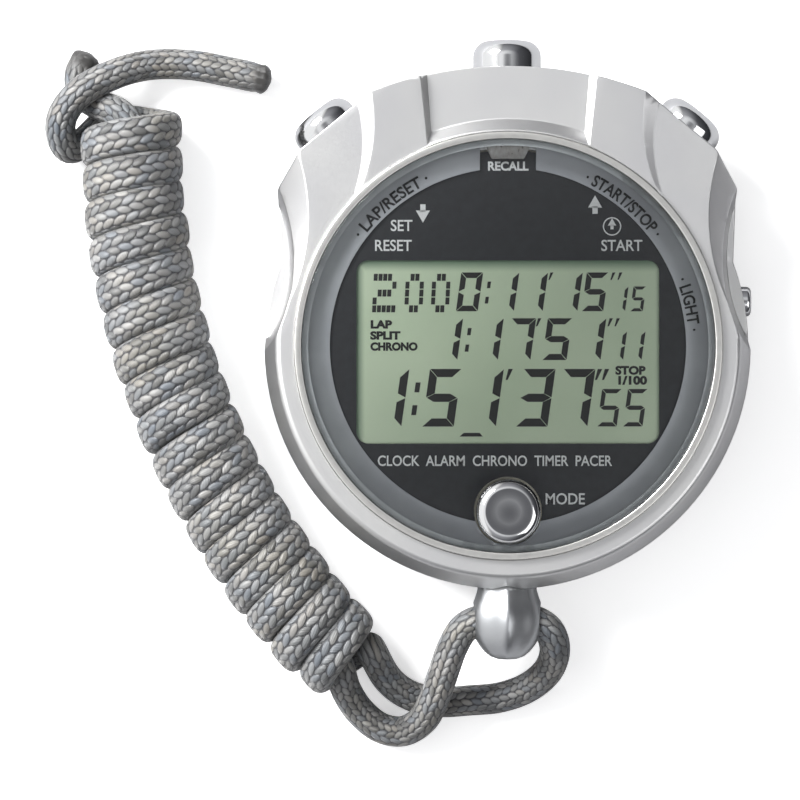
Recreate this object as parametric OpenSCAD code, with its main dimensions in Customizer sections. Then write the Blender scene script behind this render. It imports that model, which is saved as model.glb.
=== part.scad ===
// Digital stopwatch with a metal case, five push buttons and a braided neck cord.
// It lies on its back: z = 0 is the outer face of the back cover, +Z leaves through the
// crystal and +Y runs to the recall button. The origin is under the centre of the dial.

/* [Case] */
// Radius of the round part of the case
case_r = 33; // [30:0.5:42]
// Height of the rim around the crystal above the back face
rim_z = 17.2; // [16.6:0.2:21]
// Radius of the hollow that holds the movement
hollow_r = 27.6; // [27.2:0.1:28.2]
// How far the top arch stands out past the round part
arch_rise = 4.8; // [4:0.2:6]
// Radius of the top arch
arch_r = 51; // [45:1:70]
// Angle of the two slanted button faces from the top
slant = 39.5; // [36:0.5:43]
// How far the slanted faces stand out past the round part
slant_rise = 5.3; // [4.6:0.1:6]
// Length of each slanted face below its middle
slant_half = 4.8; // [4.6:0.1:5.4]
// Thickness of the back cover
cover_t = 1.6; // [1.2:0.1:2]

/* [Dial] */
// Bore in the case that the bezel ring sits in
bezel_bore_r = 28.9; // [28.6:0.1:29.4]
// Width of the bezel ring's wall
bezel_wall = 0.95; // [0.8:0.05:1.2]
// Inner radius of the sloping chapter ring
chapter_r = 24.1; // [23.6:0.1:25]
// Thickness of the crystal
crystal_t = 1; // [0.8:0.1:1.5]
// Width of the window in the dial mask
window_w = 41; // [36:0.5:42]
// Height of the window in the dial mask
window_h = 24.8; // [20:0.2:25.6]
// Window's centre below the dial centre
window_drop = 0.8; // [0:0.1:1]

/* [Buttons] */
// Radius of the three large button caps
cap_r = 4.65; // [4:0.05:5]
// Length of the large caps
cap_l = 6.2; // [5.6:0.1:6.6]
// How far the recall cap stands out
recall_proud = 3.9; // [3.2:0.1:4.6]
// How far the two slanted caps stand out
side_proud = 3; // [2.4:0.1:3.6]
// Travel of the large buttons
travel = 1.2; // [0.8:0.1:1.4]
// Radius of the light button's cap
light_r = 2.05; // [1.9:0.05:2.3]
// Light button's axis above the dial centre
light_y = 6.2; // [5:0.1:7]
// Travel of the light button
light_travel = 0.7; // [0.5:0.05:0.8]
// Radius of the function button on the dial
function_r = 4.3; // [3.8:0.05:4.5]
// Function button below the dial centre
function_y = 22.3; // [22:0.1:22.5]
// Function button's top above the rim
function_rise = 3.1; // [2.6:0.1:3.6]
// Travel of the function button
function_travel = 1; // [0.7:0.1:1]

/* [Cord] */
// Diameter of the braided cord
cord_d = 4.2; // [3.6:0.1:4.6]
// Largest radius of the lug that holds the cord
lug_r = 5; // [4.6:0.1:5.6]
// Length of the lug below the case
lug_l = 9.7; // [9:0.1:11]

/* [Hidden] */
$fn = 96;
eps = 0.01;

// clearances
slide_gap = 0.06;   // round a cap or a stem that slides
fit_gap = 0.05;     // round a ring or plate that drops into its seat
stop_gap = 0.05;    // between a retaining clip and its seat
end_gap = 0.5;      // left under a cap at the end of its travel

// case levels
case_foot = 0.5;            // underside of the case wall above the back face
shoulder_foot = 3;          // underside of the shoulders
waist_z = 9;                // step between the round body and the waist scoops
band_z = rim_z - 4;         // lower edge of the sloping band round the rim
rim_edge_r = case_r - 1.9;  // outer edge of the flat rim
foot_chamfer = 1.4;
case_top = case_r + arch_rise;
slant_face = case_r + slant_rise;
shoulder_x = case_r - 1.7;
shoulder_y = 21.2;
button_z = rim_z - 7.7;     // height of the three large buttons' axes

// waist scoops: two cones on each side, one for the waist, one for the shoulder's bevel
scoop_r = 24;
scoop_flare = 1.2;
scoop_x = case_r - 3 + scoop_r;
scoop_y = 12.3;
bevel_r = 26.9;
bevel_drop = 4;
bevel_x = case_r - 6 + bevel_r;
bevel_y = 17.5;

// raised plateau at the top with its recessed panel
plateau_low = 16;           // y where the plateau leaves the rim
plateau_rise = 0.9;
crease_x = 40.2;            // middle of each hollow side of the plateau
crease_y = case_top - 10.4;
crease_r = 20.6;            // radius of a hollow side where it meets the rim
crease_lean = 2.6;          // how fast that radius grows with height
panel_low_x = 10.4;         // half width of the recess's floor at panel_low_y
panel_low_y = 29;
panel_taper = 4.5;          // how much wider it gets towards the arch, degrees a side
panel_draft = 28;           // lean of its side walls
panel_floor = rim_z - 0.7;
panel_lip = 0.9;            // strip left between the bezel bore and the panel
panel_slope = 1.2;          // run of its lower wall to each millimetre of height

// dial stack, from the front down
bezel_top = rim_z + 1;
crystal_z = bezel_top - 0.2 - crystal_t;
crystal_r = bezel_bore_r - fit_gap - bezel_wall - fit_gap;
gasket_t = 0.2;
gasket_in_r = crystal_r - 0.85;
lip_z = rim_z - 2.2;        // seat of the bezel and chapter rings
lip_t = 0.8;
lip_r = crystal_r - 1.15;
chapter_low = lip_z - 0.4;  // underside of the chapter ring inside the lip
mask_t = 0.4;
mask_z = chapter_low - mask_t;
mask_r = lip_r - 0.2;
tab_top_x = 3.9;
tab_low_x = 2.2;
tab_low_y = chapter_r + 1.2;
gap_low_x = 3;              // half width of the ring's gap at its inner edge

// display
lcd_t = 1.9;
lcd_z = mask_z - lcd_t;
lcd_edge = 1.4;             // glass past the window at each side
lcd_ledge = 2.4;            // glass past the window above and below
lcd_w = window_w + 2 * lcd_edge;
lcd_h = window_h + 2 * lcd_ledge;
strip_w = 1.8;
strip_l = 34;
light_t = 1.6;

// movement
flange_r = hollow_r - 0.2;
flange_t = 2.6;
board_t = 1;
board_z = mask_z - 7.6;     // underside of the circuit board
board_top = board_z + board_t;
screw_ring = 21.5;
board_screw_angles = [60, 120, 240, 300];
battery_r = 10;
battery_t = 3.2;
battery_y = 9;
contact_t = 0.5;
battery_z = board_z - contact_t - battery_t;
holder_wall = 1.7;
strap_w = 5;
strap_t = 0.3;
buzzer_r = 9;
buzzer_t = 0.35;
buzzer_y = -12;

// back cover
cover_r = case_r - 1.7;
cover_screw_ring = case_r - 3.6;
cover_screw_count = 6;
cover_screw_r = 0.7;
cover_head_r = 1.3;
cover_head_t = 0.8;
seal_seat_w = 0.85;
seal_seat_t = 0.8;

// button stems: each list is [tip, cap radius, cap length, edge rounding, stem radius,
// pocket radius, pocket depth, travel, seat, clip radius, clip thickness, stem past clip]
seat_depth = 0.4;           // clip seats are cut this far into the hollow's wall
cap_wall = 0.95;
cap_round = 2.2;            // rounding of the three large caps
stem_r = 1.2;
recall_set = [case_top + recall_proud, cap_r, cap_l, cap_round, stem_r, cap_r - cap_wall, 2.6,
    travel, hollow_r + seat_depth, 1.9, 0.4, 0.85];
side_set = [slant_face + side_proud, cap_r, cap_l, cap_round, stem_r, cap_r - cap_wall, 2.6,
    travel, hollow_r + seat_depth, 1.9, 0.4, 0.85];
light_face = sqrt(pow(case_r, 2) - pow(light_y, 2));
light_seat = sqrt(pow(hollow_r, 2) - pow(light_y, 2)) + 0.5;
light_set = [light_face + 1.1, light_r, 2.9, 0.6, 0.8, light_r - 0.35, 1.2, light_travel,
    light_seat, 1.4, 0.3, 0.6];
light_z = 6;
function_tip = rim_z + function_rise;
function_seat = board_top + 2.6;
function_set = [function_tip, function_r, function_tip - board_top - 5, 1.3, stem_r,
    function_r - 0.8, 2.6, function_travel, function_seat, 1.9, 0.4, 0.85];
function_floor = board_top + 5 - function_travel - 0.4;
cup_wall = 0.64;
gland_t = 0.6;
gland_w = 0.55;             // width of a stem seal's rubber
groove_depth = 0.25;
blade_t = 0.2;
blade_gap = 0.1;            // left between a pressed stem and its blade
frame_r = stem_end(side_set) - travel - blade_gap - blade_t - 0.2;
board_r = frame_r - 0.4;
spring_wire = 0.25;
spring_gap = 0.3;           // between a spring and the pocket's wall
light_wire = 0.09;
light_wire_gap = 0.08;

// cord lug
lug_z = 10;
lug_neck_r = 4.05;
lug_tip_r = 2.4;
lug_hole_y = -case_r - 4.2;
lug_hole_r = cord_d / 2 + 0.25;
spigot_r = 1.5;
spigot_l = 3.6;

// cord route, chosen by hand; heights are of the cord's centre
cord_r = cord_d / 2;
left_route = [[0, -37.2, 10], [-3.4, -37.3, 10], [-5.8, -38.4, 9.8], [-7.4, -41, 9.2],
    [-8.6, -44.4, 8], [-9.8, -48, 6.6], [-11.4, -51.2, 4.6], [-14.2, -53, 2.8],
    [-17.2, -52.6, 2.3], [-20, -50.4, 2.7], [-22, -47.2, 4.4], [-23, -43.8, 6.4],
    [-24.6, -40.4, 7]];
right_route = [[0, -37.2, 10], [3.4, -37.3, 10], [5.6, -38.6, 9.6], [6.6, -41.2, 7.8],
    [5.8, -44.4, 5], [3, -47, 2.8], [-0.8, -48.4, 2.1], [-5, -48.8, 2.1],
    [-9.4, -49, 2.1], [-13.4, -48, 2.4], [-16.2, -45.8, 4], [-18.2, -42, 6.8],
    [-20, -38.6, 7.6]];
tail_route = [[-55.4, 30.8, 2.1], [-58.2, 28.4, 2.2], [-60.2, 27.4, 3.3], [-61.2, 29, 4.7],
    [-61, 31.6, 5.8], [-58.8, 34.6, 6.4], [-54.6, 37.2, 5.2], [-49.4, 38.9, 2.9],
    [-43.6, 39, 2.1], [-38, 38, 2.1], [-32.4, 36.8, 2.1]];
core_end_route = [[-51.4, 30, 7], [-53.4, 32.2, 5.8], [-56.2, 33.4, 3.6],
    [-58.6, 35.4, 2.1], [-58.8, 38, 2.1], [-57.4, 40.6, 2.1]];
// the winding lies along an arc of a large circle
winding_x = 50.3;
winding_y = 28.5;
winding_arc = 101.7;
winding_from = 178;
winding_to = 224;
winding_r = 7;
winding_rings = 15;

function unit(v) = v / norm(v);
function along(p, i) = unit(p[min(i + 1, len(p) - 1)] - p[max(i - 1, 0)]);
function side_of(t) = unit(cross(t, [0, 0, 1]));
function ring_at(p, i, r, sides) = let (t = along(p, i), s = side_of(t), u = cross(s, t))
    [for (k = [0:sides - 1]) p[i] + r * (cos(360 * k / sides) * s + sin(360 * k / sides) * u)];
function arc_xy(r, from, to, steps, centre = [0, 0]) =
    [for (k = [0:steps]) let (a = from + (to - from) * k / steps)
        centre + r * [cos(a), sin(a)]];
function helix(r, z0, z1, turns, steps) = [for (k = [0:turns * steps])
    [r * cos(360 * k / steps), r * sin(360 * k / steps), z0 + (z1 - z0) * k / (turns * steps)]];
function winding_line() = [for (k = [0:winding_rings]) let (a = winding_from
    + (winding_to - winding_from) * k / winding_rings)
    [winding_x + winding_arc * cos(a), winding_y + winding_arc * sin(a), winding_r]];
// places along a button's axis, worked out from its list
function cap_foot(b) = b[0] - b[2];
function floor_of(b) = cap_foot(b) - b[7] - end_gap;
function clip_at(b) = b[8] - stop_gap - b[10];
function stem_end(b) = clip_at(b) - b[11];

// a tube swept along points, closed at both ends
module tube(p, r, sides) {
    last = (len(p) - 1) * sides;
    points = [for (i = [0:len(p) - 1]) each ring_at(p, i, r, sides)];
    walls = [for (i = [0:len(p) - 2]) for (k = [0:sides - 1]) let (m = (k + 1) % sides)
        each [[i * sides + k, i * sides + m, (i + 1) * sides + m],
            [i * sides + k, (i + 1) * sides + m, (i + 1) * sides + k]]];
    caps = [[for (k = [sides - 1:-1:0]) k], [for (k = [0:sides - 1]) last + k]];
    polyhedron(points, concat(walls, caps), convexity = 8);
}

// a compression spring that stands between two faces
module coil(r, wire, low, high) {
    seat = wire + 0.02;
    tube(helix(r, low + seat, high - seat, 4, 10), wire, 6);
}

module ring(outer, inner, h) {
    difference() {
        cylinder(r = outer, h = h);
        translate([0, 0, -eps]) cylinder(r = inner, h = h + 2 * eps);
    }
}

module plate(w, h, t, corner) {
    linear_extrude(t) difference() {
        square([w, h], center = true);
        for (sx = [-1, 1], sy = [-1, 1])
            translate([sx * w / 2, sy * h / 2]) difference() {
                square(2 * corner, center = true);
                translate([-sx * corner, -sy * corner]) circle(corner);
            }
    }
}

// places that send local +Z along a button's axis
module at_angle(a) {
    translate([0, 0, button_z]) rotate([0, 0, -a]) rotate([-90, 0, 0]) children();
}
module at_light() { translate([0, light_y, light_z]) rotate([0, 90, 0]) children(); }
module at_function() { translate([0, -function_y, 0]) children(); }
module both_sides() { children(); mirror([1, 0, 0]) children(); }

// case outline at the shoulders and the arch
module shoulder_outline() {
    middle = slant_face * [sin(slant), cos(slant)];
    down = [cos(slant), -sin(slant)];
    upper = middle - 14 * down;
    lower = middle + slant_half * down;
    intersection() {
        translate([0, case_top - arch_r]) circle(arch_r, $fn = 200);
        polygon([upper, lower, [shoulder_x, shoulder_y], [case_r - 2.5, 0],
            [2.5 - case_r, 0], [-shoulder_x, shoulder_y], [-lower.x, lower.y],
            [-upper.x, upper.y]]);
    }
}

// round body with its sloping band and chamfered foot
module round_body() {
    rotate_extrude($fn = 200) polygon(concat(
        [[0, case_foot], [case_r - foot_chamfer, case_foot]],
        [[case_r, case_foot + foot_chamfer], [case_r, band_z]],
        [[case_r - 0.35, band_z + 0.9], [rim_edge_r + 0.35, rim_z - 0.5],
            [rim_edge_r, rim_z - 0.1], [rim_edge_r - 0.3, rim_z], [0, rim_z]]));
}

module waist_scoops() {
    both_sides() {
        translate([scoop_x, scoop_y, waist_z])
            cylinder(r1 = scoop_r, r2 = scoop_r + 1.5 * scoop_flare,
                h = 1.5 * (rim_z - waist_z), $fn = 200);
        translate([bevel_x, bevel_y, rim_z - bevel_drop])
            cylinder(r1 = bevel_r - bevel_drop, r2 = bevel_r + bevel_drop,
                h = 2 * bevel_drop, $fn = 200);
    }
}

module plateau() {
    intersection() {
        difference() {
            translate([0, 0, panel_floor - 1]) linear_extrude(4) intersection() {
                shoulder_outline();
                translate([-24, plateau_low]) square([48, 30]);
            }
            both_sides() translate([crease_x, crease_y, rim_z - 2])
                cylinder(r1 = crease_r - 2 * crease_lean, r2 = crease_r + 2 * crease_lean,
                    h = 4, $fn = 200);
        }
        rotate([90, 0, 90]) linear_extrude(80, center = true)
            polygon([[plateau_low, rim_z - 2], [plateau_low, rim_z],
                [case_top - 2, rim_z + plateau_rise], [case_top + 1, rim_z + plateau_rise],
                [case_top + 1, rim_z - 2]]);
    }
}

module panel_recess() {
    difference() {
        translate([-13, bezel_bore_r - 3, panel_floor]) cube([26, 20, 4]);
        both_sides() translate([panel_low_x, panel_low_y, panel_floor])
            rotate([0, 0, -panel_taper]) rotate([0, panel_draft, 0])
                translate([0, -20, -10]) cube([10, 40, 20]);
        translate([0, 0, panel_floor - 1])
            cylinder(r1 = bezel_bore_r + panel_lip + (rim_z - panel_floor + 1) * panel_slope,
                r2 = bezel_bore_r + panel_lip + (rim_z - panel_floor - 4) * panel_slope,
                h = 5, $fn = 200);
    }
}

// hole for a button: cap bore, seal gland, stem bore and clip seat
module button_hole(b) {
    floor_at = floor_of(b);
    translate([0, 0, floor_at]) cylinder(r = b[1] + slide_gap, h = 20);
    translate([0, 0, floor_at - gland_t]) cylinder(r = b[4] + 0.03 + gland_w, h = gland_t + eps);
    translate([0, 0, b[8] - 1]) cylinder(r = b[4] + fit_gap, h = floor_at - b[8] + 1);
    translate([0, 0, b[8] - 4]) cylinder(r = b[9] + 0.6, h = 4);
}

module push_button(b) {
    tip = b[0];
    foot = cap_foot(b);
    clip = clip_at(b);
    rotate_extrude() polygon(concat([[0, tip]],
        arc_xy(b[3], 90, 0, 8, [b[1] - b[3], tip - b[3]]),
        [[b[1], foot + 0.2], [b[1] - 0.2, foot], [b[5], foot], [b[5], foot + b[6]],
            [b[4], foot + b[6]], [b[4], clip + b[10]], [b[4] - groove_depth, clip + b[10]],
            [b[4] - groove_depth, clip], [b[4], clip], [b[4], stem_end(b) + 0.2],
            [b[4] - 0.2, stem_end(b)], [0, stem_end(b)]]));
}

module return_spring(b, wire = spring_wire, gap = spring_gap) {
    coil(b[5] - wire - gap, wire, floor_of(b), cap_foot(b) + b[6]);
}

module stem_clip(b) {
    translate([0, 0, clip_at(b)]) difference() {
        ring(b[9], b[4] - groove_depth, b[10]);
        translate([0, -b[9], -1]) cube([2 * b[4] - 0.8, 2 * b[9], 6], center = true);
    }
}

module stem_seal(b) {
    translate([0, 0, floor_of(b) - gland_t]) ring(b[4] + 0.03 + gland_w, b[4] + 0.03, gland_t);
}

module front_case() {
    color("silver") difference() {
        union() {
            round_body();
            translate([0, 0, shoulder_foot])
                linear_extrude(rim_z - shoulder_foot) shoulder_outline();
            plateau();
        }
        waist_scoops();
        panel_recess();
        // movement hollow, front bore and the lip between them
        translate([0, 0, -1]) cylinder(r = hollow_r, h = lip_z - lip_t + 1);
        cylinder(r = lip_r, h = rim_z + 5);
        translate([0, 0, lip_z]) cylinder(r = bezel_bore_r, h = rim_z, $fn = 200);
        // back cover's rebate, seal seat and screw holes
        translate([0, 0, -1]) cylinder(r = cover_r + fit_gap, h = cover_t + 1);
        translate([0, 0, -1]) cylinder(r = hollow_r + seal_seat_w + fit_gap,
            h = cover_t + seal_seat_t + 1);
        cover_screw_places() cylinder(r = cover_screw_r, h = 4.6);
        at_angle(0) button_hole(recall_set);
        at_angle(slant) button_hole(side_set);
        at_angle(-slant) button_hole(side_set);
        at_light() button_hole(light_set);
        translate([0, -case_r + spigot_l, lug_z]) rotate([90, 0, 0])
            cylinder(r = spigot_r, h = spigot_l + 2);
    }
}

module cover_screw_places() {
    for (k = [0:cover_screw_count - 1])
        rotate([0, 0, 360 * (k + 0.5) / cover_screw_count])
            translate([cover_screw_ring, 0, 0]) children();
}

module back_cover() {
    color("gainsboro") difference() {
        rotate_extrude($fn = 200) polygon([[0, 0], [cover_r - 0.3, 0], [cover_r, 0.3],
            [cover_r, cover_t], [0, cover_t]]);
        cover_screw_places() {
            translate([0, 0, -1]) cylinder(r = cover_screw_r + 0.1, h = cover_t + 2);
            translate([0, 0, -1]) cylinder(r = cover_head_r + 0.1, h = 1.1 + cover_head_t);
        }
    }
}

module cover_gasket() {
    color("dimgray") translate([0, 0, cover_t])
        ring(hollow_r + seal_seat_w, hollow_r, seal_seat_t);
}

module cover_screws() {
    color("lightgray") cover_screw_places() difference() {
        union() {
            translate([0, 0, 0.1]) cylinder(r = cover_head_r, h = cover_head_t);
            translate([0, 0, 0.1]) cylinder(r = cover_screw_r, h = 4.2);
        }
        for (a = [0, 90]) rotate([0, 0, a]) cube([1.5, 0.35, 1], center = true);
    }
}

module bezel_ring() {
    outer = bezel_bore_r - fit_gap;
    inner = outer - bezel_wall;
    color("whitesmoke") rotate_extrude($fn = 200) polygon([[inner, lip_z], [outer, lip_z],
        [outer, bezel_top - 0.35], [outer - 0.15, bezel_top - 0.1], [outer - 0.4, bezel_top],
        [inner + 0.25, bezel_top], [inner, bezel_top - 0.15]]);
}

module chapter_ring() {
    color("slategray") difference() {
        rotate_extrude($fn = 200) polygon([[crystal_r, lip_z], [crystal_r, crystal_z - gasket_t],
            [gasket_in_r, crystal_z - gasket_t], [gasket_in_r - 0.4, crystal_z - 0.6],
            [chapter_r + 1.6, chapter_low + 0.9], [chapter_r, chapter_low + 0.5],
            [chapter_r, chapter_low], [lip_r - 0.1, chapter_low], [lip_r - 0.1, lip_z]]);
        at_function() cylinder(r = function_r + 0.3, h = 30);
        // gap at the top, where the tab stands free
        translate([0, 0, chapter_low - 1]) linear_extrude(10)
            polygon([[-gap_low_x, chapter_r - 1], [gap_low_x, chapter_r - 1],
                [tab_top_x + fit_gap, crystal_r + 1], [-tab_top_x - fit_gap, crystal_r + 1]]);
    }
}

module tab_outline() {
    polygon([[-tab_low_x, tab_low_y], [tab_low_x, tab_low_y],
        [tab_top_x, crystal_r + 1], [-tab_top_x, crystal_r + 1]]);
}

module index_tab() {
    color("rosybrown") intersection() {
        translate([0, 0, lip_z]) linear_extrude(10) tab_outline();
        cylinder(r = crystal_r, h = 40, $fn = 200);
        rotate([90, 0, 90]) linear_extrude(20, center = true)
            polygon([[tab_low_y - 1, 0], [crystal_r + 2, 0],
                [crystal_r + 2, crystal_z - gasket_t], [crystal_r - 0.7, crystal_z - gasket_t],
                [tab_low_y, lip_z + 0.9], [tab_low_y - 1, lip_z + 0.9]]);
    }
}

module crystal() {
    color([0.9, 0.95, 1, 0.3]) difference() {
        translate([0, 0, crystal_z]) cylinder(r = crystal_r, h = crystal_t, $fn = 200);
        at_function() cylinder(r = function_r + 0.2, h = 40);
    }
}

module crystal_gasket() {
    color("black") translate([0, 0, crystal_z - gasket_t]) difference() {
        ring(crystal_r, gasket_in_r, gasket_t);
        at_function() cylinder(r = function_r + 0.3, h = 10, center = true);
    }
}

module dial_mask() {
    color("darkslategray") difference() {
        translate([0, 0, mask_z]) cylinder(r = mask_r, h = mask_t, $fn = 200);
        translate([0, -window_drop, mask_z - 1]) plate(window_w, window_h, 4, 2.2);
        at_function() cylinder(r = function_r + 0.3, h = 40);
    }
}

module lcd_glass() {
    color("darkseagreen") translate([-lcd_w / 2, -window_drop - lcd_h / 2, lcd_z])
        cube([lcd_w, lcd_h, lcd_t]);
}

module backlight_panel() {
    color("honeydew") translate([-window_w / 2, -window_drop - window_h / 2, lcd_z - light_t])
        cube([window_w, window_h, light_t]);
}

module zebra_strip(side) {
    y = -window_drop + side * (lcd_h / 2 - 0.3 - strip_w / 2);
    translate([-strip_l / 2, y - strip_w / 2, board_top])
        cube([strip_l, strip_w, lcd_z - board_top]);
}

module upper_zebra_strip() { color("hotpink") zebra_strip(1); }
module lower_zebra_strip() { color("hotpink") zebra_strip(-1); }

module module_frame() {
    color("ivory") difference() {
        union() {
            translate([0, 0, board_top]) cylinder(r = frame_r, h = mask_z - board_top);
            translate([0, 0, mask_z - flange_t]) cylinder(r = flange_r, h = flange_t);
            at_function() translate([0, 0, function_seat])
                cylinder(r = function_r + slide_gap + cup_wall, h = mask_z - function_seat);
        }
        // seats of the display glass, the backlight and the two contact strips
        translate([-lcd_w / 2 - fit_gap, -window_drop - lcd_h / 2 - fit_gap, lcd_z])
            cube([lcd_w + 2 * fit_gap, lcd_h + 2 * fit_gap, 10]);
        translate([-window_w / 2 - fit_gap, -window_drop - window_h / 2 - fit_gap, 0])
            cube([window_w + 2 * fit_gap, window_h + 2 * fit_gap, 20]);
        translate([-strip_l / 2 - fit_gap, -window_drop - lcd_h / 2 + 0.3 - fit_gap, 0])
            cube([strip_l + 2 * fit_gap, lcd_h - 0.6 + 2 * fit_gap, 20]);
        at_function() {
            translate([0, 0, function_floor]) cylinder(r = function_r + slide_gap, h = 20);
            translate([0, 0, function_floor - gland_t])
                cylinder(r = function_set[4] + 0.03 + gland_w, h = gland_t + eps);
            cylinder(r = function_set[4] + fit_gap, h = 20);
            cylinder(r = function_set[9] + 1.2, h = function_seat);
        }
        board_screw_places() translate([0, 0, board_z]) cylinder(r = 0.75, h = board_t + 4);
    }
}

module board_screw_places() {
    for (a = board_screw_angles) rotate([0, 0, a]) translate([screw_ring, 0, 0]) children();
}

module circuit_board() {
    color("seagreen") difference() {
        translate([0, 0, board_z]) cylinder(r = board_r, h = board_t);
        board_screw_places() cylinder(r = 0.85, h = 30);
    }
}

module chip_cover() {
    color("black") translate([0, 0, board_top])
        rotate_extrude() polygon([[0, 0], [4.6, 0], [3.8, 0.7], [2, 1.1], [0, 1.2]]);
}

module quartz_can() {
    color("lightsteelblue") translate([-19, -7, board_z - 1.5]) cube([6.5, 2.4, 1.5]);
}

module capacitors() {
    color("tan") for (p = [[13, -8], [16, -5], [13, -12], [-14, -13]])
        translate([p.x, p.y, board_z - 1]) cube([2, 1.25, 1]);
}

module board_screws() {
    color("silver") board_screw_places() difference() {
        union() {
            translate([0, 0, board_z - 1]) cylinder(r = 1.5, h = 1);
            translate([0, 0, board_z - 1]) cylinder(r = 0.75, h = board_t + 4.6);
        }
        for (a = [0, 90]) rotate([0, 0, a])
            translate([0, 0, board_z - 1]) cube([1.7, 0.4, 0.9], center = true);
    }
}

module battery() {
    color("silver") translate([0, battery_y, battery_z]) rotate_extrude() polygon([[0, 0],
        [battery_r - 0.3, 0], [battery_r, 0.3], [battery_r, battery_t - 0.7],
        [battery_r - 1.2, battery_t - 0.5], [battery_r - 1.2, battery_t], [0, battery_t]]);
}

module battery_holder() {
    color("white") translate([0, battery_y, battery_z])
        ring(battery_r + 0.1 + holder_wall, battery_r + 0.1, battery_t + contact_t);
}

module positive_strap() {
    reach = battery_r + 0.1 + holder_wall;
    color("goldenrod") translate([0, battery_y - strap_w / 2, battery_z - strap_t]) {
        translate([-reach - strap_t, 0, 0]) cube([2 * reach + 2 * strap_t, strap_w, strap_t]);
        for (x = [-reach - strap_t, reach])
            translate([x, 0, 0]) cube([strap_t, strap_w, board_z - battery_z + strap_t]);
    }
}

module negative_contact() {
    color("goldenrod") translate([0, battery_y, board_z - contact_t])
        cylinder(r = 4, h = contact_t);
}

module buzzer_disc() {
    color("gold") translate([0, buzzer_y, cover_t]) cylinder(r = buzzer_r, h = buzzer_t);
}

module buzzer_spring() {
    color("gold") translate([0, buzzer_y, 0]) coil(1.4, 0.2, cover_t + buzzer_t, board_z);
}

// leaf contacts that the stems push against, soldered under the board's edge
module contact_blade(b, top, foot) {
    at = stem_end(b) - b[7] - blade_gap;
    translate([-1.5, foot, board_z - blade_t]) cube([3, at - foot, blade_t]);
    translate([-1.5, at - blade_t, min(top, board_z - blade_t)])
        cube([3, blade_t, abs(top - board_z) + blade_t]);
}

module contact_blades() {
    color("goldenrod") {
        for (a = [0, slant, -slant])
            rotate([0, 0, -a]) contact_blade(a == 0 ? recall_set : side_set,
                button_z + 1.5, board_r - 2);
        translate([0, light_y, 0]) rotate([0, 0, -90])
            contact_blade(light_set, light_z - 1.6, board_r - 3.1);
    }
}

module function_contact() {
    color("goldenrod") at_function() translate([0, 0, board_top]) cylinder(r = 1.8, h = 0.25);
}

module recall_button() { color("gainsboro") at_angle(0) push_button(recall_set); }
module recall_spring() { color("gray") at_angle(0) return_spring(recall_set); }
module recall_clip() { color("dimgray") at_angle(0) stem_clip(recall_set); }
module recall_seal() { color("black") at_angle(0) stem_seal(recall_set); }
module lap_reset_button() { color("gainsboro") at_angle(-slant) push_button(side_set); }
module lap_reset_spring() { color("gray") at_angle(-slant) return_spring(side_set); }
module lap_reset_clip() { color("dimgray") at_angle(-slant) stem_clip(side_set); }
module lap_reset_seal() { color("black") at_angle(-slant) stem_seal(side_set); }
module start_stop_button() { color("gainsboro") at_angle(slant) push_button(side_set); }
module start_stop_spring() { color("gray") at_angle(slant) return_spring(side_set); }
module start_stop_clip() { color("dimgray") at_angle(slant) stem_clip(side_set); }
module start_stop_seal() { color("black") at_angle(slant) stem_seal(side_set); }
module light_button() { color("gainsboro") at_light() push_button(light_set); }
module light_spring() {
    color("gray") at_light() return_spring(light_set, light_wire, light_wire_gap);
}
module light_clip() { color("dimgray") at_light() stem_clip(light_set); }
module light_seal() { color("black") at_light() stem_seal(light_set); }
module function_button() { color("gainsboro") at_function() push_button(function_set); }
module function_clip() { color("dimgray") at_function() stem_clip(function_set); }

module function_spring() {
    color("gray") at_function() coil(function_set[5] - spring_wire - spring_gap,
        spring_wire, function_floor, cap_foot(function_set) + function_set[6]);
}

module function_seal() {
    color("black") at_function() translate([0, 0, function_floor - gland_t])
        ring(function_set[4] + 0.03 + gland_w, function_set[4] + 0.03, gland_t);
}

// a drop-shaped lug, coped to the case and held by a spigot in its wall
module cord_lug() {
    color("silver") difference() {
        union() {
            difference() {
                translate([0, -case_r, lug_z]) rotate([90, 0, 0]) rotate_extrude()
                    polygon([[0, -2], [lug_neck_r, -2], [lug_neck_r, 0.2],
                        [lug_neck_r + 0.5, 1.4], [lug_r - 0.1, 2.6], [lug_r, 3.8],
                        [lug_r - 0.25, 5.2], [lug_r - 0.85, 6.6], [lug_tip_r + 0.85, 8],
                        [lug_tip_r, lug_l - 0.6], [lug_tip_r - 0.7, lug_l], [0, lug_l]]);
                round_body();
            }
            translate([0, -case_r + spigot_l, lug_z]) rotate([90, 0, 0])
                cylinder(r = spigot_r, h = spigot_l + 1);
        }
        translate([0, lug_hole_y, lug_z]) rotate([0, 90, 0])
            cylinder(r = lug_hole_r, h = 20, center = true);
    }
}

module cord_left_strand() { color("darkgray") tube(left_route, cord_r, 10); }
module cord_right_strand() { color("darkgray") tube(right_route, cord_r, 10); }
module cord_winding() { color("darkgray") tube(winding_line(), winding_r, 16); }
module cord_tail() { color("darkgray") tube(tail_route, cord_r, 10); }
module cord_core_end() { color("darkgray") tube(core_end_route, cord_r, 10); }

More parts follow.
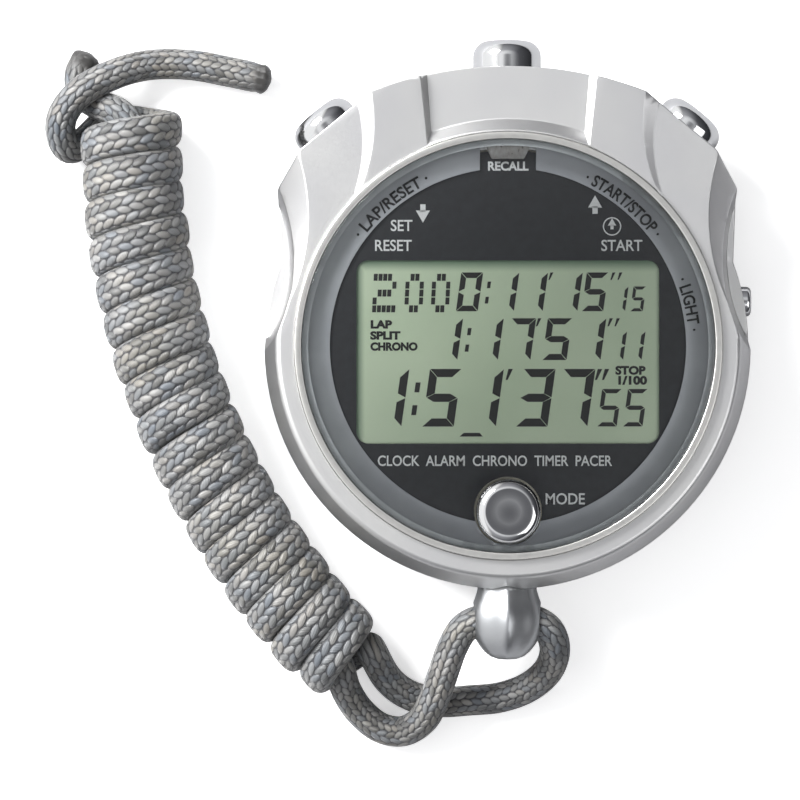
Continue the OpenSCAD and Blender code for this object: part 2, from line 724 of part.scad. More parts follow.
front_case();
back_cover();
cover_gasket();
cover_screws();
bezel_ring();
chapter_ring();
index_tab();
crystal();
crystal_gasket();
dial_mask();
lcd_glass();
backlight_panel();
upper_zebra_strip();
lower_zebra_strip();
module_frame();
circuit_board();
chip_cover();
quartz_can();
capacitors();
board_screws();
battery();
battery_holder();
positive_strap();
negative_contact();
buzzer_disc();
buzzer_spring();
contact_blades();
function_contact();
recall_button();
recall_spring();
recall_clip();
recall_seal();
lap_reset_button();
lap_reset_spring();
lap_reset_clip();
lap_reset_seal();
start_stop_button();
start_stop_spring();
start_stop_clip();
start_stop_seal();
light_button();
light_spring();
light_clip();
light_seal();
function_button();
function_spring();
function_clip();
function_seal();
cord_lug();
cord_left_strand();
cord_right_strand();
cord_winding();
cord_tail();
cord_core_end();
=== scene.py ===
"""A metal-cased digital sports stopwatch with a braided neck cord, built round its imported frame.

The watch lies on its back on a pale floor: +Z leaves through the crystal and +Y runs to the
recall button. Lengths in the outlines below are millimetres, and MM turns them to metres.
"""
import math

import bmesh
import bpy
import numpy as np
from mathutils import Matrix, Vector, noise


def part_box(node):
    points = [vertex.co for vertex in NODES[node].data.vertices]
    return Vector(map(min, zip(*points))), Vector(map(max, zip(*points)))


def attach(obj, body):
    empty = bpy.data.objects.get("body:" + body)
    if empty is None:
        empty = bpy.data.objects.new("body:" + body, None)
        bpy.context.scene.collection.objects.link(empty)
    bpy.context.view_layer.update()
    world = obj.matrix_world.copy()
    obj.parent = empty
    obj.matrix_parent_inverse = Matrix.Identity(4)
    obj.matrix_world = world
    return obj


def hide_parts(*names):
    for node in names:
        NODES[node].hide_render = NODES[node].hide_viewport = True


MM = 0.001
TURN = 2 * math.pi

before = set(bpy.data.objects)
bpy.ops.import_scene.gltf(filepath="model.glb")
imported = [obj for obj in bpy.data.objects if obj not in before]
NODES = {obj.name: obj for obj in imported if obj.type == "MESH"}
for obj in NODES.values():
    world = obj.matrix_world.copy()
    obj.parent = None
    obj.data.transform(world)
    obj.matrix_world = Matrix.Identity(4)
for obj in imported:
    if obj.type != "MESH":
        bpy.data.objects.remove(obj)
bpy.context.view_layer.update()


# ---------------------------------------------------------------- places, from the frame

def top_of(name):
    """Highest z of a CAD piece, in millimetres."""
    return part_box(name)[1][2] / MM


def foot_of(name):
    """Lowest z of a CAD piece, in millimetres."""
    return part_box(name)[0][2] / MM


def half_width(name):
    """Half of a CAD piece's width along X, in millimetres."""
    low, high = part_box(name)
    return (high[0] - low[0]) / 2 / MM


CRYSTAL_R = half_width("crystal")
CRYSTAL_TOP = top_of("crystal")
CRYSTAL_FOOT = foot_of("crystal")
BEZEL_R = half_width("bezel_ring")
BEZEL_TOP = top_of("bezel_ring")
BEZEL_FOOT = foot_of("bezel_ring")
MASK_TOP = top_of("dial_mask")
MASK_R = half_width("dial_mask")
LCD_TOP = top_of("lcd_glass")
RING_FOOT = foot_of("chapter_ring")
FUNCTION_Y = -22.3
FUNCTION_R = half_width("function_button")
BUTTON_Z = 9.5
SLANT = math.radians(39.5)
LIGHT_PLACE = (0, 6.2, 6)
BUTTONS = ["recall", "lap_reset", "start_stop", "light", "function"]
BEZEL_WALL = 0.95
LUG_HOLE = [0, -37.2, 10]
LUG_HOLE_R = 2.35


# ---------------------------------------------------------------- modelling helpers

def clear():
    """Leaves edit mode and deselects everything."""
    if bpy.context.object and bpy.context.object.mode != "OBJECT":
        bpy.ops.object.mode_set(mode="OBJECT")
    bpy.ops.object.select_all(action="DESELECT")


def take(piece):
    """Makes one piece the only selected and active one."""
    clear()
    piece.select_set(True)
    bpy.context.view_layer.objects.active = piece


def settle(piece, place=None):
    """Moves a piece by a matrix and leaves its object at the origin, unturned and unscaled."""
    take(piece)
    if place is not None:
        piece.matrix_world = place @ piece.matrix_world
    bpy.ops.object.transform_apply(location=True, rotation=True, scale=True)


def smooth(piece, angle=30):
    """Smooth shading, with edges past the angle in degrees kept sharp."""
    take(piece)
    bpy.ops.object.shade_smooth_by_angle(angle=math.radians(angle))


def modify(piece, kind, **settings):
    """Adds a modifier with its settings and applies it."""
    take(piece)
    modifier = piece.modifiers.new(kind.lower(), kind)
    for key, value in settings.items():
        setattr(modifier, key, value)
    bpy.ops.object.modifier_apply(modifier=modifier.name)


def arc(centre_r, centre_z, radius, start, end, steps):
    """Points of a round corner on an outline; angles in degrees from +r towards +z."""
    angles = [math.radians(start + (end - start) * k / steps) for k in range(steps + 1)]
    return [(centre_r + radius * math.cos(a), centre_z + radius * math.sin(a)) for a in angles]


def turned(name, outline, steps=192, closed=False):
    """A turned piece: the outline's (radius, height) points in mm, joined and spun about Z."""
    clear()
    bpy.ops.mesh.primitive_plane_add(size=MM)
    piece = bpy.context.object
    piece.name = name
    bpy.ops.object.mode_set(mode="EDIT")
    bpy.ops.mesh.merge(type="CENTER")
    bpy.ops.transform.translate(value=(outline[0][0] * MM, 0, outline[0][1] * MM))
    points = list(outline) + ([outline[0]] if closed else [])
    for (r0, z0), (r1, z1) in zip(points, points[1:]):
        step = ((r1 - r0) * MM, 0, (z1 - z0) * MM)
        bpy.ops.mesh.extrude_region_move(TRANSFORM_OT_translate={"value": step})
    bpy.ops.mesh.select_all(action="SELECT")
    bpy.ops.mesh.spin(steps=steps, angle=TURN, center=(0, 0, 0), axis=(0, 0, 1))
    bpy.ops.mesh.select_all(action="SELECT")
    bpy.ops.mesh.remove_doubles(threshold=0.003 * MM)
    bpy.ops.mesh.normals_make_consistent(inside=False)
    bpy.ops.object.mode_set(mode="OBJECT")
    smooth(piece)
    return piece


EDGE_ANGLE = math.radians(13)     # edges sharper than this are rounded over


def softened(source, name, width):
    """A copy of a CAD piece with its doubles merged and its edges rounded over by width in mm."""
    piece = copy_of(source)
    piece.name = name
    piece.data.materials.clear()
    take(piece)
    bpy.ops.object.mode_set(mode="EDIT")
    bpy.ops.mesh.select_all(action="SELECT")
    bpy.ops.mesh.remove_doubles(threshold=0.002 * MM)
    bpy.ops.mesh.dissolve_limited(angle_limit=0)
    bpy.ops.object.mode_set(mode="OBJECT")
    modify(piece, "BEVEL", width=width * MM, segments=2, limit_method="ANGLE",
           angle_limit=EDGE_ANGLE, use_clamp_overlap=False, loop_slide=True)
    smooth(piece)
    modify(piece, "WEIGHTED_NORMAL", keep_sharp=True)
    return piece


def copy_of(source):
    """A copy of a CAD piece with a mesh of its own."""
    piece = bpy.data.objects.new(source + "_copy", NODES[source].data.copy())
    bpy.context.collection.objects.link(piece)
    return piece


def cut(piece, cutter):
    """Takes a cutter's volume out of a piece."""
    modify(piece, "BOOLEAN", operation="DIFFERENCE", object=cutter, solver="EXACT")
    bpy.data.objects.remove(cutter)


def box(low, high):
    """A plain box used as a cutter, between two corners in mm."""
    clear()
    bpy.ops.mesh.primitive_cube_add(size=1)
    size = [h - l for l, h in zip(low, high)]
    middle = shift(*((l + h) / 2 for l, h in zip(low, high)))
    settle(bpy.context.object, middle @ Matrix.Diagonal((*(c * MM for c in size), 1)))
    return bpy.context.object


def rod(radius, length, place):
    """A plain cylinder used as a cutter, along Z before its place is applied; sizes in mm."""
    clear()
    bpy.ops.mesh.primitive_cylinder_add(vertices=96, radius=radius * MM, depth=length * MM)
    settle(bpy.context.object, place)
    return bpy.context.object


def shift(x, y, z):
    """A move by millimetres."""
    return Matrix.Translation(Vector((x, y, z)) * MM)


def joined(name, pieces):
    """Several meshes as one piece."""
    clear()
    for piece in pieces:
        piece.select_set(True)
    bpy.context.view_layer.objects.active = pieces[0]
    bpy.ops.object.join()
    pieces[0].name = name
    return pieces[0]


def place_piece(piece, material, body, slot, *replaced):
    """Gives a finished piece its material and the body it rides on, and hides the CAD pieces it replaces;
    the slot is not used.
    """
    piece.data.materials.clear()
    piece.data.materials.append(material)
    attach(piece, body)
    if replaced:
        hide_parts(*replaced)
    return piece


# ---------------------------------------------------------------- material helpers

def colour(hex_colour):
    """An sRGB hex colour as the linear colour that shaders use."""
    parts = [int(hex_colour[k:k + 2], 16) / 255 for k in (1, 3, 5)]
    straight = [p / 12.92 if p <= 0.04045 else ((p + 0.055) / 1.055) ** 2.4 for p in parts]
    return (*straight, 1)


def add(tree, kind, inputs=None, links=None, **settings):
    """Adds a shader node with its properties, its socket values and its incoming links."""
    made = tree.nodes.new("ShaderNode" + kind)
    for key, value in settings.items():
        setattr(made, key, value)
    for key, value in (inputs or {}).items():
        made.inputs[key].default_value = value
    for key, source in (links or {}).items():
        tree.links.new(source, made.inputs[key])
    return made


def material_of(name, **sockets):
    """A new material with a Principled shader whose constant sockets are set here."""
    material = bpy.data.materials.new(name)
    material.use_nodes = True
    shader = material.node_tree.nodes["Principled BSDF"]
    for key, value in sockets.items():
        shader.inputs[key.replace("_", " ").title()].default_value = value
    return material, material.node_tree, shader


def ramp(tree, factor, stops):
    """A colour ramp over (position, hex colour) stops."""
    made = add(tree, "ValToRGB", links={"Fac": factor})
    elements = made.color_ramp.elements
    for _ in stops[2:]:
        elements.new(0.5)
    for element, (position, hex_colour) in zip(elements, stops):
        element.position = position
        element.color = colour(hex_colour)
    return made.outputs["Color"]


def speckle(tree, size, detail=3, stretch=(1, 1, 1)):
    """Noise in the piece's own space with features of about size mm, drawn out by stretch."""
    where = add(tree, "TexCoord").outputs["Object"]
    mapped = add(tree, "Mapping", {"Scale": stretch}, {"Vector": where}).outputs["Vector"]
    made = add(tree, "TexNoise", {"Scale": 1 / (size * MM), "Detail": detail}, {"Vector": mapped})
    return made.outputs["Fac"]


def raised(tree, shader, height, depth):
    """Bump from a height pattern; depth is its real depth in mm."""
    made = add(tree, "Bump", {"Distance": depth * MM, "Strength": 1.0}, {"Height": height})
    tree.links.new(made.outputs["Normal"], shader.inputs["Normal"])
    return made


def spread(tree, value, low, high, target):
    """Drives a socket between two values by a pattern."""
    made = add(tree, "MapRange", {"To Min": low, "To Max": high}, {"Value": value})
    tree.links.new(made.outputs["Result"], target)


def plain(name, tones, roughness, metallic=0.0, size=0.6, depth=0.01, stretch=(1, 1, 1)):
    """A material with a slow drift between two tones and a fine surface grain."""
    material, tree, shader = material_of(name, metallic=metallic)
    drift = speckle(tree, size * 8, 2, stretch)
    tree.links.new(ramp(tree, drift, [(0.3, tones[0]), (0.7, tones[1])]), shader.inputs["Base Color"])
    grain = speckle(tree, size, 4, stretch)
    spread(tree, grain, roughness * 0.85, roughness * 1.15, shader.inputs["Roughness"])
    raised(tree, shader, grain, depth)
    return material


# ---------------------------------------------------------------- camera, floor and light

CAMERA_AIM = (-14.6, -7.3, 17.2)
CAMERA_RISE = 599
KEY_PLACE = (-0.55, 0.4, 0.5)     # lamp places in metres
FILL_PLACE = (0.5, -0.3, 0.7)


def camera():
    """A long lens straight above the watch, aimed between its face and the cord."""
    clear()
    x, y, z = CAMERA_AIM
    bpy.ops.object.camera_add(location=(x * MM, y * MM, (z + CAMERA_RISE) * MM), rotation=(0, 0, 0))
    made = bpy.context.object
    made.name = "camera"
    made.data.lens = 200
    made.data.sensor_width = 36
    made.data.clip_start = 0.01
    bpy.context.scene.camera = made


def floor():
    """A matt white floor that glows a little to the eye and shows grey in the metal."""
    clear()
    bpy.ops.mesh.primitive_plane_add(size=3, location=(0, 0, -0.05 * MM))
    piece = bpy.context.object
    piece.name = "floor"
    settle(piece)
    material, tree, shader = material_of("white_floor", roughness=0.9, emission_color=colour("#ffffff"))
    seen = add(tree, "LightPath").outputs["Is Camera Ray"]
    tone = add(tree, "Mix", {"A": colour("#a2a2a4"), "B": colour("#f4f4f4")}, {"Factor": seen},
               data_type="RGBA")
    glow = add(tree, "Math", {1: 0.5}, {0: seen}, operation="MULTIPLY")
    tree.links.new(tone.outputs["Result"], shader.inputs["Base Color"])
    tree.links.new(glow.outputs[0], shader.inputs["Emission Strength"])
    piece.data.materials.append(material)


def lamp(name, place, size, power):
    """A square soft light that faces the watch; place and size in metres, power in watts."""
    clear()
    turn = (-Vector(place)).to_track_quat("-Z", "Y").to_euler()
    bpy.ops.object.light_add(type="AREA", location=place, rotation=turn)
    made = bpy.context.object
    made.name = name
    made.data.size = size
    made.data.energy = power


def surroundings():
    """A studio round the watch: a bright left side, a soft light overhead, darker to the right."""
    world = bpy.data.worlds.new("studio")
    bpy.context.scene.world = world
    world.use_nodes = True
    tree = world.node_tree
    ways = add(tree, "SeparateXYZ", links={"Vector": add(tree, "TexCoord").outputs["Generated"]})
    x, y, z = (ways.outputs[k] for k in "XYZ")
    leftward = add(tree, "Math", {1: -0.62}, {0: x}, operation="MULTIPLY").outputs[0]
    slope = add(tree, "Math", {1: 0.12}, {0: y, 2: leftward}, operation="MULTIPLY_ADD").outputs[0]
    side = add(tree, "MapRange", {"From Min": -0.75, "From Max": 0.75}, {"Value": slope})
    walls = ramp(tree, side.outputs["Result"],
                 [(0.0, "#5c5d60"), (0.3, "#7c7d80"), (0.42, "#b6b7b9"), (0.5, "#d2d3d5"),
                  (0.66, "#f6f6f7"), (0.8, "#ffffff")])
    sky = ramp(tree, z, [(0.0, "#6f6f72"), (0.3, "#929295"), (0.75, "#b4b4b7"), (0.9, "#ffffff"),
                         (0.96, "#ffffff"), (1.0, "#7a7a7d")])
    both = add(tree, "Mix", {"Factor": 1.0}, {"A": walls, "B": sky},
               data_type="RGBA", blend_type="MULTIPLY")
    window = ramp(tree, side.outputs["Result"], [(0.62, "#000000"), (0.74, "#ffffff")])
    lit = add(tree, "Mix", {"Factor": 1.0}, {"A": both.outputs["Result"], "B": window},
              data_type="RGBA", blend_type="LIGHTEN")
    tree.links.new(lit.outputs["Result"], tree.nodes["Background"].inputs["Color"])
    tree.nodes["Background"].inputs["Strength"].default_value = 1.06


camera()
floor()
surroundings()
lamp("key", KEY_PLACE, 0.4, 17.0)
lamp("fill", FILL_PLACE, 0.6, 2.0)
bpy.context.scene.view_settings.view_transform = "Standard"


# ---------------------------------------------------------------- the cord

CORD_R = 2.1
COLUMNS = 14        # columns of plaits round the braid
PLAIT = 1.35        # length of one plait along the cord, mm
PLAIT_LEAN = 0.5    # how far a plait leans across its column, in plait lengths
PLAIT_RISE = 0.3    # height of a plait over the gaps, mm
AROUND = 42         # points round the cord
RING_STEP = 0.3     # mm between rings
TURN_SPREAD = 0.2   # how much wider than round a turn lies on the winding
PRESSED_FLAT = 1.2  # how far a pressed turn's section goes from round to square

LEFT_ROUTE = [[0, -37.2, 10], [-3.4, -37.3, 10], [-5.8, -38.4, 9.8], [-7.4, -41, 9.2],
              [-8.6, -44.4, 8], [-9.8, -48, 6.6], [-11.4, -51.2, 4.6], [-14.2, -53, 2.8],
              [-17.2, -52.6, 2.3], [-20, -50.4, 2.7], [-22, -47.2, 4.4], [-23, -43.8, 6.4],
              [-24.6, -40.4, 7]]
RIGHT_ROUTE = [[0, -37.2, 10], [3.4, -37.3, 10], [5.6, -38.6, 9.6], [6.6, -41.2, 7.8],
               [5.8, -44.4, 5], [3, -47, 2.8], [-0.8, -48.4, 2.1], [-5, -48.8, 2.1],
               [-9.4, -49, 2.1], [-13.4, -48, 2.4], [-16.2, -45.8, 4], [-18.2, -42, 6.8],
               [-20, -38.6, 7.6]]
TAIL_ROUTE = [[-55.4, 30.8, 2.1], [-58.2, 28.4, 2.2], [-60.2, 27.4, 3.3], [-61.2, 29, 4.7],
              [-61, 31.6, 5.8], [-58.8, 34.6, 6.4], [-54.6, 37.2, 5.2], [-49.4, 38.9, 2.9],
              [-43.6, 39, 2.1], [-38, 38, 2.1], [-32.4, 36.8, 2.1]]
CORE_END_ROUTE = [[-51.4, 30, 7], [-53.4, 32.2, 5.8], [-56.2, 33.4, 3.6], [-58.6, 35.4, 2.1],
                  [-58.8, 38, 2.1], [-57.4, 40.6, 2.1]]
WINDING_CENTRE = (50.3, 28.5)
WINDING_ARC = 101.7
WINDING_HEIGHT = 7
WINDING_TOP = 178.6      # where the last turn passes under, in degrees round the arc
WINDING_END = 225.4      # where the first turn starts
CORE_TOP = 179.6
CORE_LOW = 222.4
TURNS = 17.25
STEPS_A_TURN = 24
WINDING_R = 4.95         # the cord's centre from the winding's
FIRST_TUCK = 1.35        # how much closer in the first turn starts
UNEVEN_ANGLE = 0.28      # hand-wound irregularity along the winding, in degrees
UNEVEN_R = 0.22          # and across it
MELT_LENGTH = 3.2        # heat-cut length at a free end


def arc_point(angle):
    """Centre of the winding and the level direction towards its arc's centre, at an angle."""
    out = np.array([math.cos(math.radians(angle)), math.sin(math.radians(angle)), 0])
    centre = np.array([*WINDING_CENTRE, WINDING_HEIGHT]) + WINDING_ARC * out
    return centre, -out


def winding():
    """The turns of the cord round its own other half, from the lug end to the far end."""
    points = []
    count = int(TURNS * STEPS_A_TURN)
    for k in range(count + 1):
        done = k / count
        turns = TURNS * done
        angle = WINDING_END + (WINDING_TOP - WINDING_END) * done
        angle += UNEVEN_ANGLE * noise.noise(Vector((turns * 0.6, 3.1, 0)))
        centre, inward = arc_point(angle)
        radius = WINDING_R - FIRST_TUCK * max(0, 1 - turns / 1.1)
        radius += UNEVEN_R * noise.noise(Vector((turns * 0.9, 0, 7.7)))
        phase = math.radians(90) + TURN * turns
        point = centre + radius * (math.sin(phase) * inward + math.cos(phase) * np.array([0, 0, 1]))
        points.append([point[0], point[1], max(point[2], CORD_R)])
    return points


def core():
    """The straight half of the cord inside the winding."""
    angles = np.linspace(CORE_LOW, CORE_TOP, 18)
    return [list(arc_point(a)[0]) for a in angles]


def smooth_line(points, step):
    """One smooth curve through the points (centripetal Catmull-Rom), in even steps."""
    p = np.array(points, float)
    p = np.vstack([2 * p[0] - p[1], p, 2 * p[-1] - p[-2]])
    line = []
    for a, b, c, d in zip(p, p[1:], p[2:], p[3:]):
        t0 = 0.0
        t1 = t0 + np.linalg.norm(b - a) ** 0.5
        t2 = t1 + np.linalg.norm(c - b) ** 0.5
        t3 = t2 + np.linalg.norm(d - c) ** 0.5
        for t in np.linspace(t1, t2, 12, endpoint=False):
            ab = ((t1 - t) * a + (t - t0) * b) / (t1 - t0)
            bc = ((t2 - t) * b + (t - t1) * c) / (t2 - t1)
            cd = ((t3 - t) * c + (t - t2) * d) / (t3 - t2)
            abc = ((t2 - t) * ab + (t - t0) * bc) / (t2 - t0)
            bcd = ((t3 - t) * bc + (t - t1) * cd) / (t3 - t1)
            line.append(((t2 - t) * abc + (t - t1) * bcd) / (t2 - t1))
    line = np.array(line + [p[-2]])
    run = np.concatenate([[0], np.cumsum(np.linalg.norm(np.diff(line, axis=0), axis=1))])
    even = np.linspace(0, run[-1], int(run[-1] / step) + 1)
    return np.column_stack([np.interp(even, run, line[:, k]) for k in range(3)]), run[-1]


def carried_frames(line):
    """Two directions across the line at each point, carried along it without twist."""
    ahead = np.gradient(line, axis=0)
    ahead /= np.linalg.norm(ahead, axis=1)[:, None]
    side = np.cross(ahead[0], [0.3, 0.2, 1.0])
    sides = []
    for way in ahead:
        side = side - way * np.dot(side, way)
        side = side / np.linalg.norm(side)
        sides.append(side)
    sides = np.array(sides)
    return sides, np.cross(ahead, sides)


def lay_of_turns(line):
    """For each point, the direction along the winding, and 1 where a turn presses on the next."""
    away = line[:, :2] - np.array(WINDING_CENTRE)
    angle = np.degrees(np.arctan2(away[:, 1], away[:, 0])) % 360
    off = np.hypot(np.hypot(away[:, 0], away[:, 1]) - WINDING_ARC, line[:, 2] - WINDING_HEIGHT)
    within = np.clip((angle - WINDING_TOP + 0.5) / 1.5, 0, 1)
    within = within * np.clip((WINDING_END - 0.5 - angle) / 1.5, 0, 1)
    within = within * np.clip((off - 3.4) / 0.8, 0, 1) * np.clip((6.2 - off) / 0.6, 0, 1)
    way = np.column_stack([-away[:, 1], away[:, 0], np.zeros(len(line))])
    way /= np.linalg.norm(way, axis=1)[:, None]
    return way, within[:, None, None]


def braided(name, points):
    """A round cord along points, pressed where its turns meet, with a melted tip at its free end."""
    line, length = smooth_line(points, RING_STEP)
    sides, ups = carried_frames(line)
    rings = len(line)
    run = np.linspace(0, length, rings)
    theta = np.arange(AROUND) * TURN / AROUND
    tip = np.clip((run - (length - MELT_LENGTH)) / MELT_LENGTH, 0, 1)[:, None]
    melted = np.clip(tip * 2.2, 0, 1)
    lumps = np.array([[noise.noise(Vector((math.cos(a) * 1.4, math.sin(a) * 1.4, r * 1.3)))
                       if r > length - 4 else 0.0 for a in theta] for r in run])
    radius = CORD_R - 0.1 * melted + 0.22 * melted * lumps
    close = np.clip((length - run) / 1.1, 0, 1)[:, None]
    radius = radius * np.sqrt(np.clip(1 - (1 - close) ** 2, 0.02, 1))
    ring = np.cos(theta)[None, :, None] * sides[:, None, :]
    ring = ring + np.sin(theta)[None, :, None] * ups[:, None, :]
    way, pressed = lay_of_turns(line)
    along_way = (ring * way[:, None, :]).sum(-1, keepdims=True)
    power = 2 + PRESSED_FLAT * pressed
    fuller = np.abs(along_way) ** power + np.clip(1 - along_way ** 2, 0, 1) ** (power / 2)
    ring = ring + TURN_SPREAD * pressed * (1.3 * along_way * way[:, None, :] - 0.3 * ring)
    ring = ring * fuller ** (-1 / power)
    places = (line[:, None, :] + radius[:, :, None] * ring).reshape(-1, 3) * MM
    i, k = np.meshgrid(np.arange(rings - 1), np.arange(AROUND), indexing="ij")
    after = (k + 1) % AROUND
    here, ahead = i * AROUND, (i + 1) * AROUND
    walls = np.stack([here + k, here + after, ahead + after, ahead + k], -1).reshape(-1, 4)
    ends = [list(range(AROUND))[::-1], [(rings - 1) * AROUND + m for m in range(AROUND)]]
    mesh = bpy.data.meshes.new(name)
    mesh.from_pydata(places.tolist(), [], walls.tolist() + ends)
    layer = mesh.uv_layers.new(name="braid")
    across = np.stack([k, k + 1, k + 1, k], -1).reshape(-1) * COLUMNS / AROUND
    along = run[np.stack([i, i, i + 1, i + 1], -1).reshape(-1)] / PLAIT
    uv = np.zeros((len(mesh.loops), 2))
    uv[:len(across)] = np.column_stack([across, along])
    layer.data.foreach_set("uv", uv.reshape(-1))
    attribute = mesh.attributes.new("fused", "FLOAT", "POINT")
    attribute.data.foreach_set("value", np.repeat(melted.astype(np.float32), AROUND))
    mesh.polygons.foreach_set("use_smooth", [True] * len(mesh.polygons))
    mesh.update()
    piece = bpy.data.objects.new(name, mesh)
    bpy.context.collection.objects.link(piece)
    return piece, line * MM, length * MM


def polyester_braid():
    """Spun polyester braid: silky plaits in greys with a cold or warm cast, with painted shade in the
    gaps between them.
    """
    material, tree, shader = material_of("polyester_braid", roughness=0.38, sheen_weight=0.3,
                                         sheen_roughness=0.4)
    where = add(tree, "UVMap", uv_map="braid").outputs["UV"]
    parts = add(tree, "SeparateXYZ", links={"Vector": where})
    u, v = parts.outputs["X"], parts.outputs["Y"]

    def maths(operation, a, b=None, c=None):
        made = add(tree, "Math", operation=operation)
        for key, value in enumerate((a, b, c)):
            if isinstance(value, (int, float)):
                made.inputs[key].default_value = value
            elif value is not None:
                tree.links.new(value, made.inputs[key])
        return made.outputs[0]

    column = maths("FLOOR", u)
    across = maths("SUBTRACT", maths("FRACT", u), 0.5)
    odd = maths("MODULO", column, 2)
    lean = maths("MULTIPLY_ADD", odd, -2 * PLAIT_LEAN, PLAIT_LEAN)
    along = maths("MULTIPLY_ADD", odd, 0.5, maths("MULTIPLY_ADD", lean, across, v))
    plait = add(tree, "CombineXYZ", links={"X": column, "Y": maths("FLOOR", along)}).outputs[0]
    dice = add(tree, "TexWhiteNoise", {}, {"Vector": plait}, noise_dimensions="3D").outputs["Value"]
    slow = speckle(tree, 9, 2)
    tones = ramp(tree, dice, [(0.0, "#5c5c5b"), (0.3, "#81807e"), (0.55, "#6c7075"), (0.8, "#92918f"),
                              (1.0, "#7d7a76")])
    cast = ramp(tree, slow, [(0.34, "#d3dae1"), (0.5, "#ffffff"), (0.66, "#efece3")])
    tinted = add(tree, "Mix", {"Factor": 0.8}, {"A": tones, "B": cast},
                 data_type="RGBA", blend_type="MULTIPLY")
    # a plait's height is that of an ellipsoid, 0 in the gaps to 1 on its crown
    step = maths("SUBTRACT", maths("FRACT", along), 0.5)
    wide = maths("POWER", maths("MULTIPLY", across, 1.9), 2)
    long = maths("POWER", maths("MULTIPLY", step, 1.9), 2)
    rise = maths("SQRT", maths("MAXIMUM", maths("SUBTRACT", maths("SUBTRACT", 1, wide), long), 0))
    fused = add(tree, "Attribute", attribute_name="fused").outputs["Fac"]
    gap = maths("MULTIPLY", maths("SUBTRACT", 1, rise), maths("SUBTRACT", 1, fused))
    # painted shade: the gaps between plaits are darkened towards #26272c, where shade falls between them
    depth = add(tree, "MapRange", {"From Min": 0.3, "From Max": 0.95, "To Max": 0.85}, {"Value": gap})
    shaded = add(tree, "Mix", {"B": colour("#26272c")},
                 {"Factor": depth.outputs["Result"], "A": tinted.outputs["Result"]}, data_type="RGBA")
    ended = add(tree, "Mix", {"B": colour("#3b3a39")}, {"Factor": fused, "A": shaded.outputs["Result"]},
                data_type="RGBA")
    tree.links.new(ended.outputs["Result"], shader.inputs["Base Color"])
    # yarn filaments run the way the plait leans, about seven to a plait
    stripe = maths("SINE", maths("MULTIPLY", along, 7 * TURN))
    fibre = maths("MULTIPLY", maths("ADD", stripe, speckle(tree, 0.25, 3)), 0.06)
    raised(tree, shader, maths("SUBTRACT", fibre, gap), PLAIT_RISE)
    return material


BRAID = polyester_braid()
left_points = LEFT_ROUTE[:-1] + core() + CORE_END_ROUTE
right_points = RIGHT_ROUTE[:-2] + winding() + TAIL_ROUTE
CORDS = (("neck_cord_core_half", left_points, ["cord_left_strand", "cord_core_end"]),
         ("neck_cord_wound_half", right_points, ["cord_right_strand", "cord_winding", "cord_tail"]))
for cord_name, cord_points, cad_solids in CORDS:
    cord_piece, cord_line, cord_length = braided(cord_name, cord_points)
    place_piece(cord_piece, BRAID, "watch", "cord_braid", *cad_solids)


# ---------------------------------------------------------------- case, cover and crystal

def satin_plate(name, low, high):
    """Die-cast zinc under satin chrome plate: bead-blasted, so it shines softly with no streaks."""
    material, tree, shader = material_of(name, metallic=1.0)
    drift = speckle(tree, 14, 2)
    tree.links.new(ramp(tree, drift, [(0.35, low), (0.65, high)]), shader.inputs["Base Color"])
    blast = speckle(tree, 0.16, 3)
    spread(tree, blast, 0.34, 0.44, shader.inputs["Roughness"])
    raised(tree, shader, blast, 0.006)
    return material


def chrome():
    """Bright chrome plate on brass: a mirror with faint handling marks."""
    material, tree, shader = material_of("bright_chrome", metallic=1.0, base_color=colour("#e4e5e6"))
    spread(tree, speckle(tree, 1.6, 5), 0.05, 0.13, shader.inputs["Roughness"])
    raised(tree, shader, speckle(tree, 2.2, 2), 0.004)
    return material


def turned_steel():
    """Turned stainless bezel, finished satin, with fine lathe lines."""
    material, tree, shader = material_of("turned_bezel_steel", metallic=1.0,
                                         base_color=colour("#e6e5e1"))
    spread(tree, speckle(tree, 0.5, 4), 0.26, 0.38, shader.inputs["Roughness"])
    raised(tree, shader, speckle(tree, 0.12, 2, (1, 1, 6)), 0.002)
    return material


def painted_ring():
    """Grey metallic lacquer over a stamped brass ring: satin, with a fine flake."""
    material, tree, shader = material_of("ring_lacquer", metallic=0.35, coat_weight=0.25,
                                         coat_roughness=0.25)
    drift = speckle(tree, 7, 3)
    tree.links.new(ramp(tree, drift, [(0.3, "#b7b9bf"), (0.7, "#c8cacf")]), shader.inputs["Base Color"])
    flake = speckle(tree, 0.12, 3)
    spread(tree, flake, 0.32, 0.48, shader.inputs["Roughness"])
    raised(tree, shader, flake, 0.005)
    return material


def crystal_acrylic():
    """Polished acrylic crystal: clear, with the soft gloss of its surface."""
    material = bpy.data.materials.new("crystal_acrylic")
    material.use_nodes = True
    tree = material.node_tree
    tree.nodes.remove(tree.nodes["Principled BSDF"])
    clear_part = add(tree, "BsdfTransparent", {"Color": colour("#fdfefe")})
    gloss = add(tree, "BsdfGlossy", {"Roughness": 0.02})
    amount = add(tree, "Fresnel", {"IOR": 1.49})
    parts = {0: amount.outputs[0], 1: clear_part.outputs[0], 2: gloss.outputs[0]}
    mixed = add(tree, "MixShader", links=parts)
    tree.links.new(mixed.outputs[0], tree.nodes["Material Output"].inputs["Surface"])
    return material


def brushed_cover_steel():
    """Stainless cover, brushed one way, with the scratches of being laid down."""
    material, tree, shader = material_of("brushed_cover_steel", metallic=1.0)
    strokes = speckle(tree, 0.25, 4, (0.02, 1, 1))
    tones = ramp(tree, strokes, [(0.3, "#b4b5b7"), (0.7, "#dcdcdd")])
    tree.links.new(tones, shader.inputs["Base Color"])
    spread(tree, strokes, 0.2, 0.36, shader.inputs["Roughness"])
    raised(tree, shader, strokes, 0.012)
    return material


